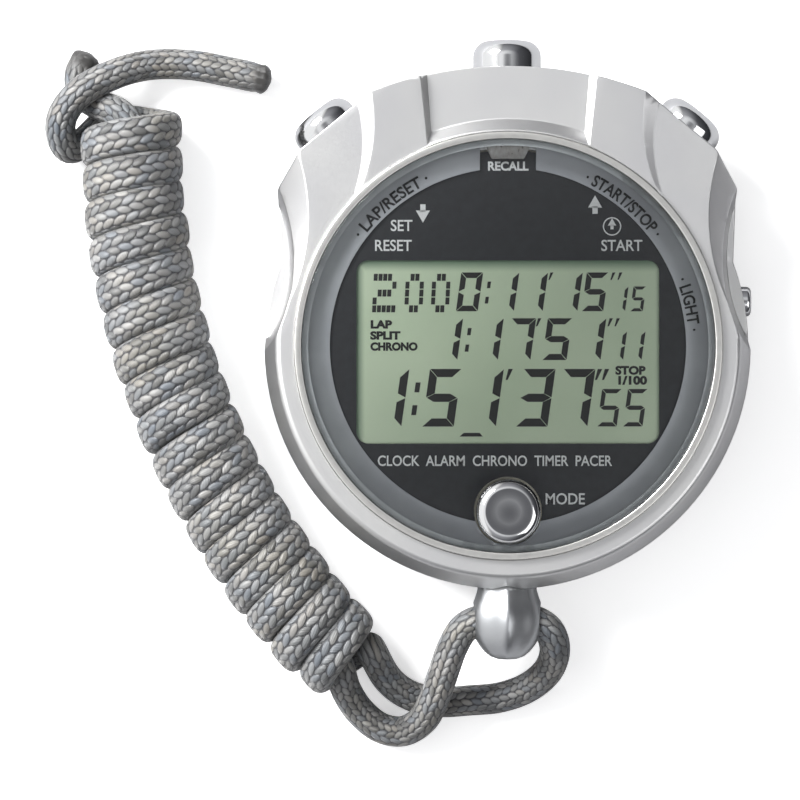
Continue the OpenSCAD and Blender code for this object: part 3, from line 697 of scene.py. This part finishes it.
SATIN = satin_plate("satin_chrome_plate", "#d9d9da", "#e1e1e0")
# the lug's plate is the case's satin chrome made darker: painted shade for the lug's faces that turn from
# the light
LUG_SHADED_SATIN = satin_plate("satin_lug_plate_painted_shade", "#b6b8bb", "#bec0c2")
CHROME = chrome()
BEZEL_STEEL = turned_steel()
RING_LACQUER = painted_ring()
COVER_STEEL = brushed_cover_steel()


def front_case():
    """Cast case with its edges just broken."""
    case = softened("front_case", "satin_front_case", 0.15)
    place_piece(case, SATIN, "watch", "case_alloy", "front_case")


def bezel():
    """Satin ring that holds the crystal, flat on top with small round edges."""
    inner, outer_edge, inner_edge = BEZEL_R - BEZEL_WALL, 0.14, 0.12
    outline = [(inner, BEZEL_FOOT), (BEZEL_R, BEZEL_FOOT)]
    outline += arc(BEZEL_R - outer_edge, BEZEL_TOP - outer_edge, outer_edge, 0, 90, 4)
    outline += arc(inner + inner_edge, BEZEL_TOP - inner_edge, inner_edge, 90, 180, 4)
    ring = turned("polished_bezel", outline, closed=True)
    place_piece(ring, BEZEL_STEEL, "watch", "chrome_plate", "bezel_ring")


def crystal():
    """Flat crystal with a polished rounded edge, notched round the function button."""
    edge = 0.22
    outline = [(0, CRYSTAL_FOOT), (CRYSTAL_R, CRYSTAL_FOOT)]
    outline += arc(CRYSTAL_R - edge, CRYSTAL_TOP - edge, edge, 0, 90, 5) + [(0, CRYSTAL_TOP)]
    piece = turned("clear_crystal", outline)
    cut(piece, rod(FUNCTION_R + 0.2, 10, shift(0, FUNCTION_Y, CRYSTAL_TOP)))
    smooth(piece)
    place_piece(piece, crystal_acrylic(), "watch", "clear_crystal", "crystal")


RING_SLOPE = [(24.1, 15.1), (25.7, 15.5), (26.9, 16.5), (27.85, 16.8)]    # radius, height
RING_WALL_R = 26.6
RING_LIP = 15
RING_GAP = 3.4         # half the gap round the index tab


def slope_height(radius):
    """Height of the chapter ring's face at a radius, both in mm."""
    return float(np.interp(radius, [r for r, _ in RING_SLOPE], [z for _, z in RING_SLOPE]))


def chapter_ring():
    """Sloping two-facet ring, cut for the index tab and for the function button."""
    inner, outer = RING_SLOPE[0][0], RING_SLOPE[-1][0]
    outline = [(outer, RING_LIP), *RING_SLOPE[::-1], (inner, RING_FOOT), (RING_WALL_R, RING_FOOT),
               (RING_WALL_R, RING_LIP)]
    piece = turned("lacquered_chapter_ring", outline, closed=True)
    gap = box((-RING_GAP, 22, 10), (RING_GAP, 30, 20))
    for vertex in gap.data.vertices:
        vertex.co.x += math.copysign((vertex.co.y - 26 * MM) * 0.1, vertex.co.x)
    cut(piece, gap)
    cut(piece, rod(FUNCTION_R + 0.3, 20, shift(0, FUNCTION_Y, MASK_TOP)))
    smooth(piece)
    place_piece(piece, RING_LACQUER, "watch", "ring_metal", "chapter_ring")


def index_tab():
    """Tapered tab under the top of the crystal, satin nickel with a warm cast."""
    material, tree, shader = material_of("satin_nickel_tab", metallic=0.6)
    strokes = speckle(tree, 0.4, 3, (1, 0.08, 1))
    tones = ramp(tree, strokes, [(0.3, "#d8d2ce"), (0.7, "#f0eeec")])
    tree.links.new(tones, shader.inputs["Base Color"])
    spread(tree, strokes, 0.24, 0.34, shader.inputs["Roughness"])
    raised(tree, shader, strokes, 0.004)
    tab = softened("index_tab", "nickel_index_tab", 0.12)
    place_piece(tab, material, "watch", "tab_metal", "index_tab")


def back_cover():
    """Brushed cover that the watch lies on."""
    cover = softened("back_cover", "brushed_back_cover", 0.12)
    place_piece(cover, COVER_STEEL, "watch", "cover_steel", "back_cover")


def cord_lug():
    """Drop-shaped lug with a soft ridge down its face, bored across for the cord."""
    neck_y, tip_y = -33.0, -42.7
    middle = LUG_HOLE[2]
    # half section from the neck, as (radius, distance from the neck)
    outline = [(0, -2), (4.0, -2), (4.05, 0.2), (4.35, 1.2), (4.7, 2.1), (4.92, 3), (5, 3.9), (4.93, 4.9),
               (4.7, 5.9), (4.3, 6.9), (3.75, 7.8), (3.1, 8.6), (2.3, 9.25), (1.3, 9.6),
               (0, neck_y - tip_y)]
    piece = turned("drop_cord_lug", outline, 96)
    settle(piece, shift(0, neck_y, middle) @ Matrix.Rotation(math.radians(90), 4, "X"))
    for vertex in piece.data.vertices:
        x, _, z = (c / MM for c in vertex.co)
        rise = z - middle
        radius = math.hypot(x, rise)
        if rise > 0 and radius > 0.1:
            hollow = math.sin(math.pi * abs(x) / radius) ** 2
            ridge = 0.1 * (1 - abs(x) / radius) ** 2 - 0.09 * hollow
            vertex.co.z += ridge * rise * MM
            vertex.co.x *= 1 - 0.06 * hollow
    cut(piece, rod(LUG_HOLE_R, 20, shift(*LUG_HOLE) @ Matrix.Rotation(math.radians(90), 4, "Y")))
    cut(piece, copy_of("front_case"))
    smooth(piece, 40)
    place_piece(piece, LUG_SHADED_SATIN, "watch", "case_alloy", "cord_lug")


# ---------------------------------------------------------------- buttons

def button_place(turn):
    """Sends +Z along the axis of a button on the case's edge, turned from the top by an angle."""
    outward = Matrix.Rotation(-turn, 4, "Z") @ Matrix.Rotation(-math.pi / 2, 4, "X")
    return shift(0, 0, BUTTON_Z) @ outward


def reach(name, place, end=max):
    """Where a CAD piece ends along +Z of a place, in mm: its outer end, or with min its inner one."""
    back = place.inverted()
    return end((back @ v.co).z for v in NODES[name].data.vertices) / MM


def cap_outline(tip, stem_end, cap_r, cap_l, rounding, stem_r, pocket_r, pocket, dish):
    """Half section of a push button: cap with a rounded edge, spring pocket and stem."""
    foot = tip - cap_l
    outline = [(0, tip - dish), ((cap_r - rounding) * 0.55, tip - dish * 0.6)]
    outline += arc(cap_r - rounding, tip - rounding, rounding, 88, 0, 12)
    outline += [(cap_r, foot + 0.15), (cap_r - 0.15, foot), (pocket_r, foot),
                (pocket_r, foot + pocket), (stem_r, foot + pocket), (stem_r, stem_end + 0.2),
                (stem_r - 0.2, stem_end), (0, stem_end)]
    return outline


# cap radius, length and rounding, stem radius, pocket radius and depth, then the cap's dish
LARGE_CAP = (4.65, 6.2, 2.2, 1.2, 3.7, 2.6, 0)
SMALL_CAP = (2.05, 2.9, 0.6, 0.8, 1.7, 1.2, 0)
FUNCTION_CAP = (FUNCTION_R, 7.7, 1.3, 1.2, 3.5, 2.6, 0.2)


def buttons():
    """Five chrome push buttons, each riding on its own pusher."""
    places = [button_place(0), button_place(-SLANT), button_place(SLANT),
              shift(*LIGHT_PLACE) @ Matrix.Rotation(math.pi / 2, 4, "Y"), shift(0, FUNCTION_Y, 0)]
    shapes = [LARGE_CAP, LARGE_CAP, LARGE_CAP, SMALL_CAP, FUNCTION_CAP]
    for label, place, shape in zip(BUTTONS, places, shapes):
        tip = reach(label + "_button", place)
        stem_end = reach(label + "_button", place, min)
        piece = turned("chrome_" + label + "_button", cap_outline(tip, stem_end, *shape), 128)
        settle(piece, place)
        place_piece(piece, CHROME, label + "_pusher", "chrome_plate", label + "_button")


# ---------------------------------------------------------------- dial and display

PRINT_RISE = 0.03      # thickness of printed ink, mm
WINDOW = (41, 24.8, -0.8, 1.6)      # width, height, middle's y and corner radius


def dial_mask():
    """Charcoal screen-printed mask with a rounded window for the display."""
    foot = MASK_TOP - 0.4
    piece = turned("printed_dial_mask", [(0, foot), (MASK_R, foot), (MASK_R, MASK_TOP), (0, MASK_TOP)])
    width, height, middle, corner = WINDOW
    clear()
    bpy.ops.mesh.primitive_cube_add(size=1, location=(0, middle * MM, MASK_TOP * MM),
                                    scale=(width * MM, height * MM, 4 * MM))
    window = bpy.context.object
    settle(window)
    bpy.ops.object.mode_set(mode="EDIT")
    bpy.ops.mesh.select_mode(type="EDGE")
    bpy.ops.mesh.select_all(action="DESELECT")
    shape = bmesh.from_edit_mesh(window.data)
    for edge in shape.edges:
        a, b = (v.co for v in edge.verts)
        edge.select_set(abs(a.z - b.z) > MM)
    bmesh.update_edit_mesh(window.data)
    bpy.ops.mesh.bevel(offset=corner * MM, segments=10)
    bpy.ops.mesh.select_mode(type="VERT")
    bpy.ops.object.mode_set(mode="OBJECT")
    cut(piece, window)
    cut(piece, rod(FUNCTION_R + 0.3, 20, shift(0, FUNCTION_Y, MASK_TOP)))
    smooth(piece)
    material = plain("charcoal_screen_print", ("#27282c", "#2c2d32"), 0.5, size=0.15, depth=0.001)
    place_piece(piece, material, "watch", "dial_paint", "dial_mask")


def display_glass():
    """Reflective twisted-nematic display: grey-green film, with a painted shadow of the mask darkening it
    towards the window's edge.
    """
    material, tree, shader = material_of("display_film", coat_weight=0.3, coat_roughness=0.2)
    where = add(tree, "TexCoord").outputs["Object"]
    parts = add(tree, "SeparateXYZ", links={"Vector": where})
    width, height, middle, _ = WINDOW
    top, side = middle + height / 2, width / 2
    # painted shadow of the mask along the window's edge: from its start to its darkest place, in mm, and
    # how dark it gets
    mask_shadow = 0.0
    for axis, start, end, depth in (("Y", top - 1.7, top, 0.95), ("X", 1.3 - side, -side, 0.9),
                                    ("X", side - 0.6, side, 0.4)):
        edge = add(tree, "MapRange", {"From Min": start * MM, "From Max": end * MM, "To Max": depth},
                   {"Value": parts.outputs[axis]}, interpolation_type="SMOOTHSTEP").outputs["Result"]
        mask_shadow = add(tree, "Math", {1: 0.0}, {0: edge, **({1: mask_shadow} if mask_shadow else {})},
                     operation="MAXIMUM").outputs[0]
    tones = ramp(tree, speckle(tree, 12, 1), [(0.3, "#d9eacb"), (0.7, "#e2f1d3")])
    film = add(tree, "Mix", {"B": colour("#6d8a70")}, {"Factor": mask_shadow, "A": tones}, data_type="RGBA")
    tree.links.new(film.outputs["Result"], shader.inputs["Base Color"])
    grain = speckle(tree, 0.1, 2)
    spread(tree, grain, 0.4, 0.55, shader.inputs["Roughness"])
    raised(tree, shader, grain, 0.002)
    NODES["lcd_glass"].data.materials.clear()
    NODES["lcd_glass"].data.materials.append(material)


SEGMENTS = {"0": "abcdef", "1": "bc", "3": "abcdg", "5": "acdfg", "7": "abc", "_": "d"}
SLOPE = math.tan(math.radians(8))
MITRE = 0.05           # half the gap where two segments meet, mm


def patch(points, foot, slope):
    """One flat dark shape on the display through corner points in mm, leaned over from its foot."""
    bpy.ops.mesh.primitive_circle_add(vertices=len(points), radius=MM, fill_type="NGON")
    shape = bmesh.from_edit_mesh(bpy.context.object.data)
    corners = [vertex for vertex in shape.verts if vertex.select]
    for vertex, (x, y) in zip(corners, points):
        vertex.co = Vector((x + slope * (y - foot), y, 0)) * MM
    bmesh.update_edit_mesh(bpy.context.object.data)


def digit(figure, x, y, w, h, t):
    """A seven-segment figure with mitred corners; x, y, w and h run along the strokes' middles."""
    left, right, low, high, middle = x - t / 2, x + w + t / 2, y - t / 2, y + h + t / 2, y + h / 2
    g = MITRE
    shapes = {
        "a": [(left + g, high), (left + t + g, high - t), (right - t - g, high - t),
              (right - g, high)],
        "d": [(left + g, low), (right - g, low), (right - t - g, low + t), (left + t + g, low + t)],
        "f": [(left, high - g), (left, middle + g), (left + t, middle + t / 2 + g),
              (left + t, high - t - g)],
        "e": [(left, low + g), (left + t, low + t + g), (left + t, middle - t / 2 - g),
              (left, middle - g)],
        "b": [(right, high - g), (right - t, high - t - g), (right - t, middle + t / 2 + g),
              (right, middle + g)],
        "c": [(right, low + g), (right, middle - g), (right - t, middle - t / 2 - g),
              (right - t, low + t + g)],
        "g": [(left + 2 * g, middle), (left + t, middle - t / 2), (right - t, middle - t / 2),
              (right - 2 * g, middle), (right - t, middle + t / 2), (left + t, middle + t / 2)]}
    for label in SEGMENTS[figure]:
        patch(shapes[label], y, SLOPE)


def marks(kind, x, y, h, t):
    """The colon, and the slanting minute and second marks between figures."""
    if kind == ":":
        for up in (0.25, 0.71):
            low, high = y + (up - 0.1) * h, y + (up + 0.1) * h
            left, right = x - 0.3 * t, x + 0.3 * t
            patch([(left, low), (right, low), (right, high), (left, high)], y, SLOPE)
    for k in range({"'": 1, '"': 2}.get(kind, 0)):
        start, low, high = x + 0.95 * k, y + 0.86 * h, y + h + 0.5 * t
        patch([(start, low), (start + 0.25 * t, low), (start + 0.9 * t, high), (start + 0.35 * t, high)],
              low, 0)


MATRIX_STEP = (0.645, 1.067)    # between dots, across and up, mm


def matrix_figure(rows, x, y):
    """A dot-matrix figure: one block for each 1 in its rows, top row first."""
    step_x, step_y = MATRIX_STEP
    for k, row in enumerate(rows):
        for n, dot in enumerate(row):
            if dot == "1":
                left, low = x + (n - 0.42) * step_x, y + (len(rows) - 1.44 - k) * step_y
                right, high = left + 0.84 * step_x, low + 0.88 * step_y
                patch([(left, low), (right, low), (right, high), (left, high)], y, 0.05)


# each row: baseline, figure height and width, segment thickness, then (figure, left edge) pairs
DISPLAY_ROWS = [
    (5.1, 4.5, 2.2, 0.75, [("0", -6.6), (":", -3.0), ("1", -1.7), ("1", 2.2), ("'", 5.5),
                           ("1", 6.9), ("5", 10.4), ('"', 13.9)]),
    (4.92, 2.95, 1.3, 0.42, [("1", 14.4), ("5", 16.8)]),
    (-1.48, 4.84, 2.5, 0.82, [("1", -9.7), (":", -5.7), ("1", -4.2), ("7", 0.2), ("'", 3.8),
                              ("5", 5.1), ("1", 9.7), ('"', 13.5)]),
    (-1.64, 3.4, 1.6, 0.5, [("1", 13.8), ("1", 16.3)]),
    (-10.35, 6.7, 3.2, 1.1, [("1", -18.1), (":", -12.9), ("5", -11.0), ("1", -5.3), ("'", -0.3),
                             ("3", 1.7), ("7", 7.1), ('"', 11.8)]),
    (-10.6, 4.5, 2.1, 0.57, [("5", 12.4), ("5", 15.9)]),
    (-12.0, 0.1, 2.75, 0.5, [("_", -6.3)])]
MATRIX_TWO = ["11110", "00001", "01110", "10000", "11111"]
MATRIX_NOUGHT = ["0110", "1001", "1001", "1001", "0110"]


def display_figures():
    """Every lit segment of the display, as thin dark shapes on the glass."""
    clear()
    bpy.ops.mesh.primitive_plane_add(size=0.1 * MM)
    piece = bpy.context.object
    piece.name = "display_segments"
    bpy.ops.object.mode_set(mode="EDIT")
    bpy.ops.mesh.delete(type="VERT")
    for base, high, wide, thick, figures in DISPLAY_ROWS:
        for figure, left in figures:
            if figure in SEGMENTS:
                digit(figure, left, base, wide, high, thick)
            else:
                marks(figure, left, base, high, thick)
    for rows, left in ((MATRIX_TWO, -18.1), (MATRIX_NOUGHT, -13.75), (MATRIX_NOUGHT, -10.17)):
        matrix_figure(rows, left, 5.05)
    bpy.ops.mesh.select_all(action="SELECT")
    bpy.ops.mesh.extrude_region_move(TRANSFORM_OT_translate={"value": (0, 0, PRINT_RISE * MM)})
    bpy.ops.mesh.select_all(action="SELECT")
    bpy.ops.mesh.normals_make_consistent(inside=False)
    bpy.ops.object.mode_set(mode="OBJECT")
    settle(piece, shift(0, 0, LCD_TOP + 0.005))
    return piece


def words(text, size, x=0.0, y=0.0, z=0.0, weight=0.0, squeeze=1.0, align="LEFT", wide=None):
    """Raised lettering of a given height in mm, flat at a place, drawn out to a width if one is set."""
    clear()
    bpy.ops.object.text_add()
    piece = bpy.context.object
    piece.data.body = text
    piece.data.size = size * 1.37 * MM
    piece.data.align_x = align
    piece.data.offset = weight * MM
    piece.data.extrude = PRINT_RISE / 2 * MM
    piece.data.resolution_u = 4
    bpy.ops.object.convert(target="MESH")
    if wide:
        squeeze = wide * MM / bpy.context.object.dimensions.x
    settle(bpy.context.object, shift(x, y, z + PRINT_RISE / 2) @ Matrix.Diagonal((squeeze, 1, 1, 1)))
    return bpy.context.object


RING_WORDS_R = 24.5


def ring_words(text, start, end):
    """Lettering that follows the chapter ring, foot inward, from one angle to another in degrees."""
    piece = words(text, 1.6, weight=0.05, align="CENTER")
    reach_x = max(abs(vertex.co.x) for vertex in piece.data.vertices)
    for vertex in piece.data.vertices:
        _, y, z = (c / MM for c in vertex.co)
        angle = math.radians((start + end) / 2 - (start - end) / 2 * vertex.co.x / reach_x)
        radius = RING_WORDS_R + y
        height = slope_height(radius) + z + 0.06
        vertex.co = Vector((radius * math.cos(angle), radius * math.sin(angle), height)) * MM
    return piece


def arrow(x, y, up, size):
    """A small printed arrow: a block with a head, pointing up or down the dial."""
    clear()
    bpy.ops.mesh.primitive_plane_add(size=MM)
    piece = bpy.context.object
    bpy.ops.object.mode_set(mode="EDIT")
    bpy.ops.transform.resize(value=(0.36 * size, 0.5 * size, 1), center_override=(0, 0, 0))
    bpy.ops.mesh.primitive_circle_add(vertices=3, radius=0.55 * size * MM, fill_type="NGON",
                                      location=(0, 0.45 * size * MM, 0))
    bpy.ops.mesh.select_all(action="SELECT")
    bpy.ops.mesh.extrude_region_move(TRANSFORM_OT_translate={"value": (0, 0, PRINT_RISE * MM)})
    bpy.ops.object.mode_set(mode="OBJECT")
    turn = Matrix.Rotation(0 if up else math.pi, 4, "Z")
    settle(piece, shift(x, y, MASK_TOP) @ turn)
    return piece


def ring_mark(x, y, radius):
    """A printed circle round an arrow."""
    inner = radius - 0.17
    outline = [(inner, 0), (radius, 0), (radius, PRINT_RISE), (inner, PRINT_RISE)]
    piece = turned("ring_mark", outline, 40, closed=True)
    settle(piece, shift(x, y, MASK_TOP))
    return piece


def printing():
    """Inks on the mask, the display and the chapter ring: figures and plain words for the functions."""
    white = plain("white_dial_ink", ("#f4f4f4", "#fafafa"), 0.55, size=0.2, depth=0.004)
    black = plain("black_ring_ink", ("#141416", "#1e1e20"), 0.5, size=0.2, depth=0.004)
    lcd_ink = plain("display_segment_tone", ("#1e1e1c", "#262624"), 0.45, size=0.3, depth=0.002)
    on_mask = [words("SET", 1.55, -15.9, 15.6, MASK_TOP, 0.03, 0.9),
               words("RESET", 1.55, -18.1, 12.9, MASK_TOP, 0.03, 0.9),
               words("START", 1.55, 12.6, 12.9, MASK_TOP, 0.03, 0.9),
               words("CLOCK  ALARM  CHRONO  TIMER  PACER", 1.45, -1.8, -16.2, MASK_TOP, 0.03, 0.84,
                     "CENTER"),
               words("MODE", 1.55, 5.0, -21.4, MASK_TOP, 0.03, 0.9),
               arrow(-11.5, 18.7, False, 2.0), arrow(11.8, 18.4, True, 2.0),
               arrow(14.1, 16.1, True, 1.2), ring_mark(14.1, 16.2, 1.25)]
    place_piece(joined("dial_words", on_mask), white, "watch", "dial_paint")
    on_ring = [ring_words("· LAP/RESET ·", 143.8, 115.6), ring_words("· START/STOP ·", 65.1, 36.4),
               ring_words("· LIGHT ·", 21.3, 4.6)]
    place_piece(joined("ring_words", on_ring), black, "watch", "dial_paint")
    on_lcd = [display_figures(),
              words("LAP", 1.05, -18.6, 2.45, LCD_TOP, 0.08, wide=2.9),
              words("SPLIT", 1.05, -18.6, 0.95, LCD_TOP, 0.08, wide=4.1),
              words("CHRONO", 1.05, -18.6, -0.55, LCD_TOP, 0.08, wide=6.4),
              words("STOP", 1.1, 14.6, -3.8, LCD_TOP, 0.08, wide=4.1),
              words("1/100", 1.1, 14.7, -5.15, LCD_TOP, 0.08, wide=3.9)]
    place_piece(joined("display_figures", on_lcd), lcd_ink, "watch", "display_glass")
    recall = words("RECALL", 1.2, 0, 23.8, MASK_TOP, 0.06, align="CENTER", wide=5.5)
    recall.name = "recall_word"
    place_piece(recall, white, "watch", "dial_paint")


# ---------------------------------------------------------------- pieces inside the case

def inner_finishes():
    """A finish for every CAD piece that stays as it is, sealed inside the case or on the back."""
    rubber = plain("nitrile_rubber", ("#1b1b1c", "#262627"), 0.75, size=0.3, depth=0.01)
    nylon = plain("pale_nylon_gasket", ("#b9bdc0", "#c8ccce"), 0.4, size=0.3, depth=0.005)
    ivory = plain("moulded_polystyrene", ("#e3ddcb", "#ece7d8"), 0.45, size=0.5, depth=0.01)
    laminate = plain("green_glass_laminate", ("#1f5a38", "#2b7047"), 0.35, size=0.4, depth=0.02)
    epoxy = plain("black_epoxy_blob", ("#101012", "#1d1d20"), 0.3, size=0.8, depth=0.04)
    nickel = plain("nickel_plate", ("#b9bab8", "#d2d2d0"), 0.25, metallic=1.0, size=0.3, depth=0.004)
    screw = plain("zinc_plated_screw", ("#a9abae", "#c9cacc"), 0.3, metallic=1.0, size=0.2, depth=0.006)
    spring = plain("spring_steel_wire", ("#83858a", "#a4a6a9"), 0.3, metallic=1.0, size=0.2, depth=0.004)
    brass = plain("rolled_brass", ("#b08d46", "#c9a65a"), 0.28, metallic=1.0, size=0.3, depth=0.004,
                  stretch=(0.1, 1, 1))
    ceramic = plain("fired_ceramic", ("#9b8766", "#b39e7c"), 0.55, size=0.3, depth=0.01)
    glow = plain("electroluminescent_film", ("#dfe8df", "#eaf1e8"), 0.4, size=0.4, depth=0.003)
    zebra, tree, shader = material_of("zebra_strip_rubber", roughness=0.6)
    where = add(tree, "TexCoord").outputs["Object"]
    # conducting layers stand 0.1 mm apart along the strip; 0.314 turns a wave's length into its scale
    layers = add(tree, "TexWave", {"Scale": 0.314 / (0.1 * MM), "Distortion": 0.1}, {"Vector": where})
    tones = ramp(tree, layers.outputs["Fac"], [(0.4, "#d98a97"), (0.6, "#252526")])
    tree.links.new(tones, shader.inputs["Base Color"])
    finishes = {
        rubber: ["cover_gasket"] + [b + "_seal" for b in BUTTONS],
        nylon: ["crystal_gasket"], ivory: ["module_frame", "battery_holder"], laminate: ["circuit_board"],
        epoxy: ["chip_cover"], ceramic: ["capacitors"], glow: ["backlight_panel"],
        nickel: ["battery", "quartz_can"] + [b + "_clip" for b in BUTTONS],
        screw: ["cover_screws", "board_screws"], spring: [b + "_spring" for b in BUTTONS],
        brass: ["positive_strap", "negative_contact", "buzzer_disc", "buzzer_spring", "contact_blades",
                "function_contact"],
        zebra: ["upper_zebra_strip", "lower_zebra_strip"]}
    for material, names in finishes.items():
        for name in names:
            NODES[name].data.materials.clear()
            NODES[name].data.materials.append(material)


front_case()
bezel()
crystal()
chapter_ring()
index_tab()
back_cover()
cord_lug()
buttons()
dial_mask()
display_glass()
printing()
inner_finishes()
